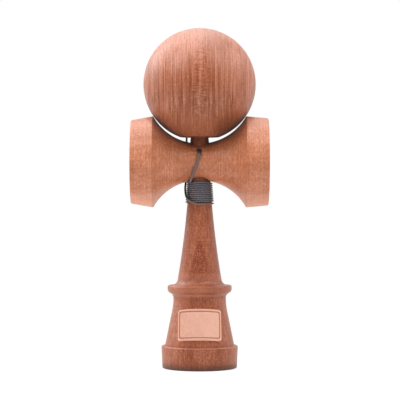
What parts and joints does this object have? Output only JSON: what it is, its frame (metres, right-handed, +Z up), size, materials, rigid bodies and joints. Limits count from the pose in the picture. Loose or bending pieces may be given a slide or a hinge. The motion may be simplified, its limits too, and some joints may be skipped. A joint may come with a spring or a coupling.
{
  "type": "kendama",
  "caption": "Turned wooden kendama: handle with spike and foot cup, cross piece with two cups, drilled ball resting on the spike, and a string wound under the cross piece.",
  "frame": {"origin": "on the surface that the foot stands on, under the middle of the foot band", "axes": "+Z up the handle towards the spike, +X along the cross piece towards the big cup, -Y towards the viewer and the leather patch"},
  "size_m": [0.0738, 0.0612, 0.1835],
  "materials": {
    "ken_wood": "oiled",
    "sarado_wood": "oiled",
    "tama_wood": "oiled",
    "patch_leather": "matte",
    "bead_wood": "satin",
    "string_cord": "matte"
  },
  "bodies": {
    "ken": {"ken": "ken_wood", "sarado": "sarado_wood", "leather_patch": "patch_leather", "anchor_knot": "string_cord", "string_anchor_run": "string_cord", "string_front_run": "string_cord", "string_winding": "string_cord", "string_back_run": "string_cord"},
    "bead": {"bead": "bead_wood", "bead_knot": "string_cord", "string_tama_run": "string_cord"},
    "tama": {"tama": "tama_wood"}
  },
  "joints": [
    {"name": "tama_lift", "type": "slide", "parent": "ken", "child": "bead", "axis": [0, 0, 1], "range_m": [0, 0.06], "deforming": ["string_back_run"]},
    {"name": "tama_spin", "type": "hinge", "parent": "bead", "child": "tama", "pos_m": [0, 0, 0.1523], "axis": [0, 0, 1], "continuous": true}
  ]
}
